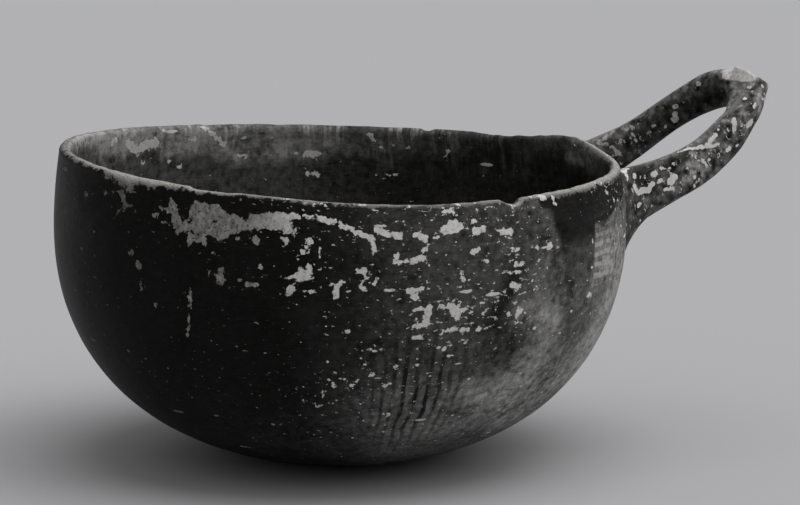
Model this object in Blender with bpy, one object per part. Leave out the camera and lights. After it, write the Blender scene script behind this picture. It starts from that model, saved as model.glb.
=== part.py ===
"""A hand-built earthenware bowl with a wishbone handle.

The bowl stands on the small flat worn into its round bottom, which is the plane z = 0. The bowl's own
axis is the Z axis and the handle rises over +X. The potter pierced the wall twice under the lip, pushed
the two tangs of a looped clay strap through, pressed a dab of clay over each tang inside and smeared a
collar of clay round each root outside. All lengths are in metres and all angles in degrees.
"""

import math

import bmesh
import bpy
from mathutils import Matrix, Vector

# Bowl
BELLY_RADIUS = 0.0900
BELLY_HEIGHT = 0.0751
BELLY_FULLNESS = 2.26
REST_RADIUS = 0.0195
UPPER_WALL_HEIGHT = 0.0198
RIM_DRAWN_IN = 0.0020
WALL = 0.0042
FLOOR = 0.0062
RIM_HEIGHT = BELLY_HEIGHT + UPPER_WALL_HEIGHT

# Unevenness of the hand-raised lip: a tilt, an oval wave and a swell by the farther handle root
RIM_TILT = 0.0033
RIM_TILT_TOWARD = 168.0
RIM_WAVE = 0.0013
RIM_WAVE_TOWARD = -2.0
RIM_SWELL = 0.0026
RIM_SWELL_TOWARD = 17.0
RIM_SWELL_WIDTH = 12.0

# Handle
ROOT_HALF_SPREAD = 0.0190
ROOT_BELOW_RIM = 0.0151
ROOT_SINK = 0.0032
HANDLE_REACH = 0.0415
HANDLE_RISE = 0.0302
STRAP_WIDTH = 0.0130
STRAP_THICKNESS = 0.0060
STRAP_CORNER_POWER = 0.62
SPUR_BREAK_HEIGHT = 0.0079
SPUR_RADIUS = 0.0070
SPUR_TIP_RADIUS = 0.0054
SPUR_LEAN = 20.0
SPUR_BREAK_SLOPE = 31.0

# Joints of the handle in the wall
TANG_WIDTH = 0.0090
TANG_THICKNESS = 0.0046
TANG_PROUD = 0.0012
TANG_OVERLAP = 0.0050
LUTING_LENGTH = 0.0075
LUTING_FLARE = 0.0036
LUTING_EDGE = 0.0008
LUTING_DROP = 0.0032
LUTING_CORNER_POWER = 0.80
DAB_RADIUS = 0.0085
DAB_HEIGHT = 0.0064
DAB_THICKNESS = 0.0036
CLEARANCE = 0.0003

# Facets
TURN_STEPS = 72
BELLY_STEPS = 12
WALL_STEPS = 5
LIP_STEPS = 4
STRAP_SIDES = 16
STATION_STEPS = 5
LUTING_STEPS = 7
DAB_SIDES = 20
SHARP_EDGE_ANGLE = 40.0

# The handle's inner face from the near root round the crown to the far root, as shares of the reach,
# the half spread and the rise, and each station's width and thickness as shares of the strap's
HANDLE_STATIONS = (
    (0.00, -1.00, 0.055, 1.48, 1.20),
    (0.35, -0.93, 0.225, 1.18, 1.00),
    (0.68, -0.70, 0.418, 1.09, 0.95),
    (0.93, -0.39, 0.705, 1.04, 1.25),
    (1.00, -0.02, 1.03, 0.86, 2.20),
    (0.93, 0.29, 1.05, 0.97, 1.40),
    (0.68, 0.62, 0.808, 0.86, 1.00),
    (0.35, 0.87, 0.455, 0.94, 1.00),
    (0.00, 1.00, 0.17, 1.28, 1.20),
)

BLACK_SLIP = (0.020, 0.018, 0.016, 1.0)
WORN_SLIP = (0.034, 0.031, 0.028, 1.0)
UP = Vector((0.0, 0.0, 1.0))


def belly_start():
    """Angle at which the belly curve leaves the resting flat."""
    return math.asin((REST_RADIUS / BELLY_RADIUS) ** (BELLY_FULLNESS / 2))


def outer_point(share):
    """Radius and height on the outer face: share 0 to 1 is the belly, 1 to 2 the wall up to the lip."""
    power = 2 / BELLY_FULLNESS
    if share <= 1:
        first = belly_start()
        turn = first + (math.pi / 2 - first) * share
        depth = BELLY_HEIGHT / math.cos(first) ** power
        drop = max(math.cos(turn), 0.0) ** power
        return BELLY_RADIUS * math.sin(turn) ** power, BELLY_HEIGHT - depth * drop
    climb = share - 1
    radius = BELLY_RADIUS - RIM_DRAWN_IN * climb**2
    return radius, BELLY_HEIGHT + (lip_start() - BELLY_HEIGHT) * climb


def lip_start():
    """Height at which the wall turns into the rounded lip."""
    return RIM_HEIGHT - WALL / 2


def offset_point(share, depth):
    """The point that lies this deep behind the outer face, square to it."""
    step = 0.001
    before = outer_point(max(share - step, 0.0))
    after = outer_point(min(share + step, 2.0))
    along_radius = after[0] - before[0]
    along_height = after[1] - before[1]
    length = math.hypot(along_radius, along_height)
    radius, height = outer_point(share)
    return radius - depth * along_height / length, height + depth * along_radius / length


def wall_depth(share):
    """Thickness of the clay: the wall's, growing to the floor's at the bottom."""
    below_belly = max(1.0 - share, 0.0)
    return WALL + (FLOOR - WALL) * below_belly**2


def shares():
    """Stations up the outer face, from the resting flat to the lip."""
    belly = [step / BELLY_STEPS for step in range(BELLY_STEPS)]
    wall = [1 + step / WALL_STEPS for step in range(WALL_STEPS + 1)]
    return belly + wall


def rim_lift(turn):
    """How far the lip stands above or below its mean height at this angle round the bowl."""
    swell_turn = (turn - RIM_SWELL_TOWARD + 180) % 360 - 180
    tilt = RIM_TILT * math.cos(math.radians(turn - RIM_TILT_TOWARD))
    wave = RIM_WAVE * math.cos(2 * math.radians(turn - RIM_WAVE_TOWARD))
    return tilt + wave + RIM_SWELL * math.exp(-((swell_turn / RIM_SWELL_WIDTH) ** 2))


def raise_wall(bm):
    """Stretches the wall above the belly up or down to the uneven lip."""
    for vert in bm.verts:
        climb = (vert.co.z - BELLY_HEIGHT) / (lip_start() - BELLY_HEIGHT)
        climb = min(max(climb, 0.0), 1.0)
        turn = math.degrees(math.atan2(vert.co.y, vert.co.x))
        vert.co.z += rim_lift(turn) * climb**2


def new_object(name, bm, material=None):
    """Closes up a modelled mesh into an object, smooth but for its real edges."""
    bmesh.ops.recalc_face_normals(bm, faces=bm.faces)
    mesh = bpy.data.meshes.new(name)
    bm.to_mesh(mesh)
    bm.free()
    mesh.shade_smooth()
    mesh.set_sharp_from_angle(angle=math.radians(SHARP_EDGE_ANGLE))
    piece = bpy.data.objects.new(name, mesh)
    bpy.context.collection.objects.link(piece)
    if material:
        mesh.materials.append(material)
    else:
        piece.hide_render = True
        piece.display_type = "WIRE"
    return piece


def combine(piece, other, operation):
    """Unites the piece with another solid, or cuts or trims it by one."""
    modifier = piece.modifiers.new(f"{operation.lower()} {other.name}", "BOOLEAN")
    modifier.operation = operation
    modifier.object = other
    modifier.solver = "EXACT"


def fired_clay(name, colour, roughness):
    """Burnished slip over fired clay."""
    material = bpy.data.materials.new(name)
    material.use_nodes = True
    shader = material.node_tree.nodes["Principled BSDF"]
    shader.inputs["Base Color"].default_value = colour
    shader.inputs["Roughness"].default_value = roughness
    shader.inputs["Metallic"].default_value = 0.0
    return material


def turned(profile):
    """Spins a profile of radii and heights, which starts and ends on the axis, into a solid."""
    bm = bmesh.new()
    verts = [bm.verts.new((radius, 0.0, height)) for radius, height in profile]
    edges = [bm.edges.new(pair) for pair in zip(verts, verts[1:])]
    bmesh.ops.spin(
        bm,
        geom=verts + edges,
        axis=UP,
        cent=(0.0, 0.0, 0.0),
        angle=2 * math.pi,
        steps=TURN_STEPS,
        use_merge=True,
    )
    bmesh.ops.remove_doubles(bm, verts=bm.verts, dist=1e-6)
    raise_wall(bm)
    return bm


def add_ring(bm, centre, width_axis, thickness_axis, width, thickness, rounding):
    """One oblong section of a strap, as a closed loop: rounding 1 is an oval and 0 a rectangle."""
    ring = bmesh.ops.create_circle(bm, segments=STRAP_SIDES, radius=1.0)["verts"]
    for index, vert in enumerate(ring):
        turn = 2 * math.pi * index / STRAP_SIDES
        across = math.copysign(abs(math.cos(turn)) ** rounding, math.cos(turn))
        through = math.copysign(abs(math.sin(turn)) ** rounding, math.sin(turn))
        vert.co = centre + width_axis * (across * width / 2) + thickness_axis * (through * thickness / 2)
    return list({edge for vert in ring for edge in vert.link_edges})


def lofted(sections, rounding=STRAP_CORNER_POWER):
    """Skins a row of strap sections and closes both ends."""
    bm = bmesh.new()
    loops = [add_ring(bm, *section, rounding) for section in sections]
    for lower, upper in zip(loops, loops[1:]):
        bmesh.ops.bridge_loops(bm, edges=lower + upper)
    for end in (loops[0], loops[-1]):
        bmesh.ops.contextual_create(bm, geom=end)
    return bm


def outer_radius(height):
    """Radius of the outer face above the belly at this height, before the lip is made uneven."""
    climb = (height - BELLY_HEIGHT) / (lip_start() - BELLY_HEIGHT)
    return BELLY_RADIUS - RIM_DRAWN_IN * max(climb, 0.0) ** 2


def handle_point(position):
    """Inner-face point, width and thickness at a position along the stations, on a smooth curve."""
    first = min(int(position), len(HANDLE_STATIONS) - 2)
    along = position - first
    last = len(HANDLE_STATIONS) - 1
    rows = [HANDLE_STATIONS[min(max(first + step, 0), last)] for step in (-1, 0, 1, 2)]
    reach, spread, rise, width, thickness = (
        b + 0.5 * along * (c - a + along * (2 * a - 5 * b + 4 * c - d + along * (3 * (b - c) + d - a)))
        for a, b, c, d in zip(*rows)
    )
    root_height = RIM_HEIGHT - ROOT_BELOW_RIM
    root_x = math.sqrt(outer_radius(root_height) ** 2 - ROOT_HALF_SPREAD**2) - ROOT_SINK
    point = Vector((
        root_x + HANDLE_REACH * reach,
        ROOT_HALF_SPREAD * spread,
        root_height + HANDLE_RISE * rise,
    ))
    return point, STRAP_WIDTH * width, STRAP_THICKNESS * thickness


def handle_section(position):
    """Centre, axes and size of the strap at a position along the stations."""
    step = 0.02
    last = len(HANDLE_STATIONS) - 1
    point, width, thickness = handle_point(position)
    before = handle_point(max(position - step, 0.0))[0]
    after = handle_point(min(position + step, last))[0]
    tangent = (after - before).normalized()
    width_axis = (UP - tangent * tangent.dot(UP)).normalized()
    outward = tangent.cross(width_axis)
    centre = point + outward * (thickness / 2)
    return centre, width_axis, outward, width, thickness


def strap(grow=0.0):
    """The looped strap, or with grow the space that it needs."""
    count = (len(HANDLE_STATIONS) - 1) * STATION_STEPS
    rows = [handle_section(step / STATION_STEPS) for step in range(count + 1)]
    rows.insert(0, sunk_section("near"))
    rows.append(sunk_section("far"))
    sections = []
    for centre, width_axis, outward, width, thickness in rows:
        sections.append((centre, width_axis, outward, width + 2 * grow, thickness + 2 * grow))
    return lofted(sections)


def root(side):
    """Section of the strap at one root, and the direction out along the strap there."""
    section = handle_section(0 if side == "near" else len(HANDLE_STATIONS) - 1)
    out = section[1].cross(section[2])
    return section, out if side == "near" else -out


def sunk_section(side):
    """The root's section moved back into the wall, so that the wall's face trims the strap all round."""
    section, out = root(side)
    return (section[0] - out * WALL, *section[1:])


def tang(side, grow=0.0):
    """The peg at the strap's end that goes through the wall, or with grow its hole."""
    (centre, width_axis, outward, _, _), out = root(side)
    size = (TANG_WIDTH + 2 * grow, TANG_THICKNESS + 2 * grow)
    inner_end = centre - out * (WALL + TANG_PROUD + grow)
    outer_end = centre + out * TANG_OVERLAP
    return lofted([(end, width_axis, outward, *size) for end in (inner_end, outer_end)])


def spur():
    """The stub of the crown's spur: a tapered peg that leans outward and ends in a slanting break."""
    length = SPUR_BREAK_HEIGHT + SPUR_RADIUS
    bm = bmesh.new()
    bmesh.ops.create_cone(
        bm,
        cap_ends=True,
        segments=STRAP_SIDES,
        radius1=SPUR_RADIUS,
        radius2=SPUR_TIP_RADIUS,
        depth=length,
        matrix=Matrix.Translation((0.0, 0.0, length / 2)),
    )
    crown = (len(HANDLE_STATIONS) - 1) / 2
    centre = handle_section(crown)[0]
    lean = Matrix.Rotation(math.radians(SPUR_LEAN), 4, "Y")
    bmesh.ops.transform(bm, matrix=Matrix.Translation(centre) @ lean, verts=bm.verts)
    slope = Matrix.Rotation(math.radians(SPUR_BREAK_SLOPE), 4, "Y")
    cut = bmesh.ops.bisect_plane(
        bm,
        geom=list(bm.verts) + list(bm.edges) + list(bm.faces),
        plane_co=centre + UP * SPUR_BREAK_HEIGHT,
        plane_no=slope @ UP,
        clear_outer=True,
    )
    rim = [item for item in cut["geom_cut"] if isinstance(item, bmesh.types.BMEdge)]
    bmesh.ops.contextual_create(bm, geom=rim)
    return bm


def luting(side):
    """The collar of clay smeared round a root, wide on the wall and feathered out along the strap."""
    last = len(HANDLE_STATIONS) - 1
    sections = []
    for step in range(LUTING_STEPS + 1):
        along = step / LUTING_STEPS
        beyond_root = along * (WALL + LUTING_LENGTH) - WALL
        position = max(beyond_root, 0.0) / station_length()
        section = handle_section(position if side == "near" else last - position)
        centre, width_axis, outward, width, thickness = section
        centre = centre + root(side)[1] * min(beyond_root, 0.0)
        flare = LUTING_EDGE + LUTING_FLARE * (1 - along) ** 1.5
        centre = centre - width_axis * (LUTING_DROP * (1 - along))
        sections.append((centre, width_axis, outward, width + 2 * flare, thickness + 2 * flare))
    return lofted(sections, LUTING_CORNER_POWER)


def station_length():
    """Length of the strap's first stretch, from one station to the next."""
    return (handle_point(1)[0] - handle_point(0)[0]).length


def dab(side):
    """The flattened pat of clay over a tang's end, before it is trimmed to the wall."""
    section, out = root(side)
    inside = section[0] - out * WALL
    turn = math.atan2(inside.y, inside.x)
    bm = bmesh.new()
    bmesh.ops.create_uvsphere(bm, u_segments=DAB_SIDES, v_segments=DAB_SIDES // 2, radius=1.0)
    size = Matrix.Diagonal((DAB_THICKNESS, DAB_RADIUS, DAB_HEIGHT, 1.0))
    place = Matrix.Translation(inside) @ Matrix.Rotation(turn, 4, "Z")
    bmesh.ops.transform(bm, matrix=place @ size, verts=bm.verts)
    return bm


def bowl_profile():
    """From the middle of the resting flat round the lip to the middle of the floor."""
    outer = [outer_point(share) for share in shares()]
    inner = [offset_point(share, wall_depth(share)) for share in reversed(shares())]
    middle = ((outer[-1][0] + inner[0][0]) / 2, (outer[-1][1] + inner[0][1]) / 2)
    lip = []
    for step in range(1, 2 * LIP_STEPS):
        turn = math.pi * step / (2 * LIP_STEPS)
        lip.append((middle[0] + WALL / 2 * math.cos(turn), middle[1] + WALL / 2 * math.sin(turn)))
    floor_height = inner[-1][1]
    return [(0.0, 0.0)] + outer + lip + inner + [(0.0, floor_height)]


def block_profile(depth_at):
    """A solid as wide as the face at a depth from the outer one, carried up well past the lip."""
    face = [offset_point(share, depth_at(share)) for share in shares()]
    top = RIM_HEIGHT + HANDLE_RISE
    return [(0.0, face[0][1])] + face + [(face[-1][0], top), (0.0, top)]


def main():
    """Empties the scene and builds the six clay pieces, which share their cutters."""
    for leftover in list(bpy.data.objects):
        bpy.data.objects.remove(leftover)

    black = fired_clay("black_burnished_slip", BLACK_SLIP, 0.38)
    worn = fired_clay("smoothed_joint_slip", WORN_SLIP, 0.52)

    wall_block = new_object("wall_block", turned(block_profile(lambda share: -CLEARANCE)))
    hollow = new_object("hollow", turned(block_profile(lambda share: wall_depth(share) + CLEARANCE)))
    strap_space = new_object("strap_space", strap(CLEARANCE))

    bowl_body = new_object("bowl_body", turned(bowl_profile()), black)
    handle_strap = new_object("handle_strap", strap(), black)
    combine(handle_strap, wall_block, "DIFFERENCE")

    for side in ("near", "far"):
        tang_space = new_object(f"{side}_tang_space", tang(side, CLEARANCE))
        combine(bowl_body, tang_space, "DIFFERENCE")
        combine(handle_strap, new_object(f"{side}_tang", tang(side)), "UNION")

        collar = new_object(f"{side}_root_luting", luting(side), worn)
        combine(collar, wall_block, "DIFFERENCE")
        combine(collar, strap_space, "DIFFERENCE")

        pat = new_object(f"{side}_tang_dab", dab(side), worn)
        combine(pat, hollow, "INTERSECT")
        combine(pat, tang_space, "DIFFERENCE")

    combine(handle_strap, new_object("spur", spur()), "UNION")


main()
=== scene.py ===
import math

import bmesh
import bpy
import numpy as np
from mathutils import Matrix, Vector, kdtree, noise


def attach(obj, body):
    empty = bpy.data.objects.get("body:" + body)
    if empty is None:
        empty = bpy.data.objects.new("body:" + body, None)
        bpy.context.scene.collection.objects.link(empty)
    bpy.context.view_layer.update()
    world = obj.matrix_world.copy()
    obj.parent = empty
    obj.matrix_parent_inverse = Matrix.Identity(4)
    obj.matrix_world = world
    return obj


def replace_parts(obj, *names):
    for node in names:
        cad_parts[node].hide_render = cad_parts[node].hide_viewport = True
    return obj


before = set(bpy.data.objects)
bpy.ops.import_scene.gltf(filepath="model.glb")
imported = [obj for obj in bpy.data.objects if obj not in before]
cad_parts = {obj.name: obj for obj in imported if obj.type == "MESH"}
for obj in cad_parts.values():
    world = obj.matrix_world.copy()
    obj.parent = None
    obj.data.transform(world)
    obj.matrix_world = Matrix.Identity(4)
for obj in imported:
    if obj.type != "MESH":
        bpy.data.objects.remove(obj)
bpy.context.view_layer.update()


# The bowl: one thin shell of earthenware, built up by hand over a rounded base, scraped, covered with dark
# slip and burnished with a pebble. Nothing in it is quite round: the wall has soft dents from the hand, and
# the lip rises and falls, with a scooped chip on the near side and a nick on the far side.
BELLY_RADIUS = 0.0900
BELLY_HEIGHT = 0.0751
BELLY_FULLNESS = 2.26
REST_RADIUS = 0.0195
RIM_HEIGHT = 0.0949
RIM_DRAWN_IN = 0.0020
WALL = 0.0042
FLOOR = 0.0062
LIP_START = RIM_HEIGHT - WALL / 2
RIM_TILT = 0.0033
RIM_TILT_TOWARD = 168.0
RIM_WAVE = 0.0013
RIM_WAVE_TOWARD = -2.0
RIM_SWELL = 0.0026
RIM_SWELL_TOWARD = 17.0
RIM_SWELL_WIDTH = 12.0
BELLY_POWER = 2 / BELLY_FULLNESS
BASE_TURN = math.asin((REST_RADIUS / BELLY_RADIUS) ** (1 / BELLY_POWER))
BELLY_DEPTH = BELLY_HEIGHT / math.cos(BASE_TURN) ** BELLY_POWER
FULL_ROUND = 2 * math.pi * BELLY_RADIUS

# How finely the shell is divided: steps round it, and the distances between its rows
BOWL_TURNS = 520
CLOSE_ROWS = 0.00088
WIDE_ROWS = 0.0018
CLOSE_FROM = 0.038
FIRST_RING = 0.002
INNER_ROWS = 0.0017
INNER_FIRST_RING = 0.0015
BASE_STEPS = 40
BELLY_STEPS = 2000
UPPER_STEPS = 600
LIP_STEPS = 10


def outer_radius(height):
    """Radius of the outer face at a height, before the hand's unevenness."""
    if height > BELLY_HEIGHT:
        climb = min((height - BELLY_HEIGHT) / (LIP_START - BELLY_HEIGHT), 1.0)
        return BELLY_RADIUS - RIM_DRAWN_IN * climb**2
    turn = math.acos((max(BELLY_HEIGHT - height, 0.0) / BELLY_DEPTH) ** (1 / BELLY_POWER))
    return BELLY_RADIUS * math.sin(turn) ** BELLY_POWER


def rim_lift(turn):
    """How far the lip stands above its mean height at this angle in degrees: tilt, wave and a swell."""
    swell_turn = (turn - RIM_SWELL_TOWARD + 180) % 360 - 180
    tilt = RIM_TILT * math.cos(math.radians(turn - RIM_TILT_TOWARD))
    wave = RIM_WAVE * math.cos(2 * math.radians(turn - RIM_WAVE_TOWARD))
    return tilt + wave + RIM_SWELL * math.exp(-((swell_turn / RIM_SWELL_WIDTH) ** 2))


def raised(height, turn):
    """Height of a point of the wall once it is stretched up or down to the uneven lip."""
    climb = min(max((height - BELLY_HEIGHT) / (LIP_START - BELLY_HEIGHT), 0.0), 1.0)
    return height + rim_lift(turn) * climb**2


def lowered(height, turn):
    """The height before stretching that ends up at this one."""
    before = height
    for _ in range(6):
        before += height - raised(before, turn)
    return before


def wall_place(turn, height, depth=0.0):
    """The point on the outer face at an angle in degrees and a height, or this deep behind the face."""
    radius = outer_radius(lowered(height, turn)) - depth
    around = math.radians(turn)
    return Vector((radius * math.cos(around), radius * math.sin(around), height))


def outer_curve():
    """Radii and heights up the outer face, with closer rows from the lime's lower edge up."""
    base_steps = range(BASE_STEPS)
    fine = [(FIRST_RING + (REST_RADIUS - FIRST_RING) * step / BASE_STEPS, 0.0) for step in base_steps]
    for step in range(BELLY_STEPS):
        turn = BASE_TURN + (math.pi / 2 - BASE_TURN) * step / BELLY_STEPS
        height = BELLY_HEIGHT - BELLY_DEPTH * math.cos(turn) ** BELLY_POWER
        fine.append((BELLY_RADIUS * math.sin(turn) ** BELLY_POWER, height))
    for step in range(UPPER_STEPS + 1):
        height = BELLY_HEIGHT + (LIP_START - BELLY_HEIGHT) * step / UPPER_STEPS
        fine.append((outer_radius(height), height))
    rows = [fine[0]]
    walked = 0.0
    for before, after in zip(fine, fine[1:]):
        walked += math.dist(before, after)
        if walked >= (CLOSE_ROWS if after[1] > CLOSE_FROM else WIDE_ROWS):
            rows.append(after)
            walked = 0.0
    rows[-1] = fine[-1]
    return rows


def shell_profile():
    """Radii and heights from the middle of the base over the lip to the middle of the floor."""
    outer = outer_curve()
    inner = []
    for before, here, after in zip([outer[0]] + outer, outer, outer[1:] + [outer[-1]]):
        along = Vector((after[0] - before[0], after[1] - before[1])).normalized()
        depth = WALL + (FLOOR - WALL) * max(1 - here[1] / BELLY_HEIGHT, 0.0) ** 4
        inner.append((here[0] - depth * along.y, here[1] + depth * along.x))
    middle = (outer[-1][0] + inner[-1][0]) / 2
    lip = []
    for step in range(1, LIP_STEPS):
        turn = math.pi * step / LIP_STEPS
        lip.append((middle + WALL / 2 * math.cos(turn), LIP_START + WALL / 2 * math.sin(turn)))
    inside = []
    for point in reversed(inner):
        if not inside or (math.dist(point, inside[-1]) > INNER_ROWS and point[0] > INNER_FIRST_RING):
            inside.append(point)
    return [(0.0, 0.0)] + outer + lip + inside + [(0.0, inside[-1][1])]


def rim_loss(turn):
    """Losses on the lip: the scooped chip, the nick across from it, the step at the left and a long sag."""
    loss = 0.0
    for centre, before, after, depth in (
        (-65.5, 3.6, 1.7, 0.0018),
        (57.9, 1.4, 1.6, 0.0009),
        (-131.5, 1.4, 11.0, 0.0007),
        (-86.0, 32.0, 30.0, 0.0008),
        (38.0, 3.0, 9.0, 0.0005),
    ):
        away = (turn - centre + 180) % 360 - 180
        away /= before if away < 0 else after
        loss += depth * max(1 - away**2, 0.0)
    return loss


def hand_dents(place):
    """Soft inward unevenness of a hand-scraped surface, between 0 and about half a millimetre."""
    return 0.00024 + 0.00022 * noise.noise(place * 31.0) + 0.00007 * noise.noise(place * 120.0)


bm = bmesh.new()
verts = [bm.verts.new((radius, 0.0, height)) for radius, height in shell_profile()]
edges = [bm.edges.new(pair) for pair in zip(verts, verts[1:])]
bmesh.ops.spin(
    bm,
    geom=verts + edges,
    axis=(0.0, 0.0, 1.0),
    cent=(0.0, 0.0, 0.0),
    angle=2 * math.pi,
    steps=BOWL_TURNS,
    use_merge=True,
)
bmesh.ops.remove_doubles(bm, verts=bm.verts, dist=1e-6)
bmesh.ops.recalc_face_normals(bm, faces=bm.faces)
bm.normal_update()
for vert in bm.verts:
    on_rest_flat = vert.co.z <= 0.0005
    if not on_rest_flat:
        vert.co -= vert.normal * hand_dents(vert.co)
    turn = math.degrees(math.atan2(vert.co.y, vert.co.x))
    climb = min(max((vert.co.z - BELLY_HEIGHT) / (RIM_HEIGHT - BELLY_HEIGHT), 0.0), 1.0)
    ragged = 0.00030 * noise.noise(Vector((vert.co.x, vert.co.y, 0.0)) * 240.0)
    vert.co.z = raised(vert.co.z, turn) + ragged * climb**10 - rim_loss(turn) * climb**9


def placed_piece(bm, name):
    """Turns a finished bmesh into a smooth-shaded object of the scene."""
    mesh = bpy.data.meshes.new(name)
    bm.to_mesh(mesh)
    bm.free()
    mesh.shade_smooth()
    piece = bpy.data.objects.new(name, mesh)
    bpy.context.collection.objects.link(piece)
    return piece


bowl_shell = placed_piece(bm, "bowl_shell")
mesh = bowl_shell.data


def places(mesh):
    """Every vertex of a mesh as rows of x, y and z."""
    flat = np.empty(len(mesh.vertices) * 3, np.float32)
    mesh.vertices.foreach_get("co", flat)
    return flat.reshape(-1, 3).astype(float)


def store(mesh, name, values):
    """Keeps one number from 0 to 1 per vertex for the finish to read."""
    layer = mesh.attributes.new(name, "FLOAT", "POINT")
    layer.data.foreach_set("value", np.clip(values, 0.0, 1.0).astype(np.float32))


def dabbed(spots, strokes, soft=0.0026):
    """Cover of lime left by strokes from one place to another, each so wide: a half marks its edge."""
    cover = np.zeros(len(spots))
    for start, end, width in strokes:
        start = np.array(start)
        along = np.array(end) - start
        share = (spots - start) @ along / max(along @ along, 1e-12)
        near = start + np.clip(share, 0.0, 1.0)[:, None] * along
        away = np.linalg.norm(spots - near, axis=1)
        cover = np.maximum(cover, 0.5 + (width / 2 - away) / soft)
    return np.clip(cover, 0.0, 1.0)


def clouded(turns, heights, base, clouds):
    """A tone over the wall: round clouds, by angle, height, spread and strength, on a base."""
    tone = base.copy()
    for turn, height, wide, tall, strength in clouds:
        across = np.abs((turns - turn + 180) % 360 - 180) / wide
        tone += strength * np.exp(-(across**2) - ((heights - height) / tall) ** 2)
    return tone


def between(values, stops):
    """Blends between stops: each is a place among the values and what the result is there."""
    return np.interp(values, [place for place, _ in stops], [result for _, result in stops])


def wrapped(mesh, around, full, along):
    """A UV map from distances round a piece, which close after a full turn, and distances along it."""
    loops = np.empty(len(mesh.loops), np.int32)
    mesh.loops.foreach_get("vertex_index", loops)
    firsts = np.empty(len(mesh.polygons), np.int32)
    counts = np.empty(len(mesh.polygons), np.int32)
    mesh.polygons.foreach_get("loop_start", firsts)
    mesh.polygons.foreach_get("loop_total", counts)
    across = around[loops]
    first = np.repeat(across[firsts], counts)
    across = first + (across - first + full / 2) % full - full / 2
    layer = mesh.uv_layers.new(name="wrap")
    layer.data.foreach_set("uv", np.stack([across, along[loops]], 1).ravel().astype(np.float32))


# Lime crust from the ground where the bowl lay, by where it starts and ends on the wall: angle in degrees
# and height in millimetres of both ends, and width in millimetres
LEFT_LIME = (
    (-135.6, 89.4, -134.6, 87.4, 2.4), (-135, 87.5, -134, 84, 3.6), (-134, 85, -131.5, 84.5, 3.2),
    (-130.7, 90.5, -126.2, 90.2, 3.2), (-130.5, 88.5, -124.5, 88.5, 5), (-131.2, 85.4, -129.8, 81.2, 2.4),
    (-129.5, 85.5, -122.5, 86.5, 6), (-126.5, 84, -124.5, 83.6, 3.8), (-121.5, 85.5, -119.5, 86.5, 3.4),
    (-118.5, 88, -113.5, 88.5, 3.8), (-118, 86.5, -112, 87, 3), (-112.5, 88.5, -110.6, 89.2, 2.4),
    (-112.5, 86, -111, 84.8, 2.6), (-138.5, 89.5, -136.5, 89, 1.8), (-136.5, 92, -136, 91, 2),
    (-140, 87, -139.4, 87, 1.6), (-137.6, 85.4, -137, 85.4, 1.4), (-131.6, 81.5, -131.4, 80.5, 2.2),
    (-128.5, 81, -128.3, 79.8, 1.8), (-130.2, 83.4, -129.6, 81.8, 2), (-118, 82.2, -117.6, 81.6, 2.2),
    (-112.5, 82.6, -112.1, 81.8, 2.2), (-149.4, 92.2, -147.8, 88.8, 2), (-147.8, 88.8, -145.6, 88.7, 1.1),
    (-147.9, 88.6, -150.7, 84.8, 1.2), (-152.1, 91.8, -151.9, 90.8, 1.6), (-154.6, 92, -154.4, 91, 1.3),
    (-161.6, 89.8, -161.4, 89.2, 1.8), (-144, 72, -143.6, 71.2, 2.2), (-146, 75, -145.4, 74.6, 1.8),
    (-133.4, 78.6, -133, 78.4, 1.3), (-126.6, 77.6, -126.2, 77.4, 1.3), (-125, 72, -125, 69.4, 2.6),
    (-119.5, 69.2, -118, 69, 1.9), (-127.5, 72, -127.3, 71.4, 1.6), (-117, 74.4, -116.7, 74.2, 1.4),
    (-131.4, 66.2, -131.8, 61, 1.3), (-132.2, 58.6, -133.4, 50.4, 0.9), (-143.4, 66, -143.2, 64, 1.2),
    (-140, 60.4, -139.6, 60.2, 1.2),
)
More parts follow.
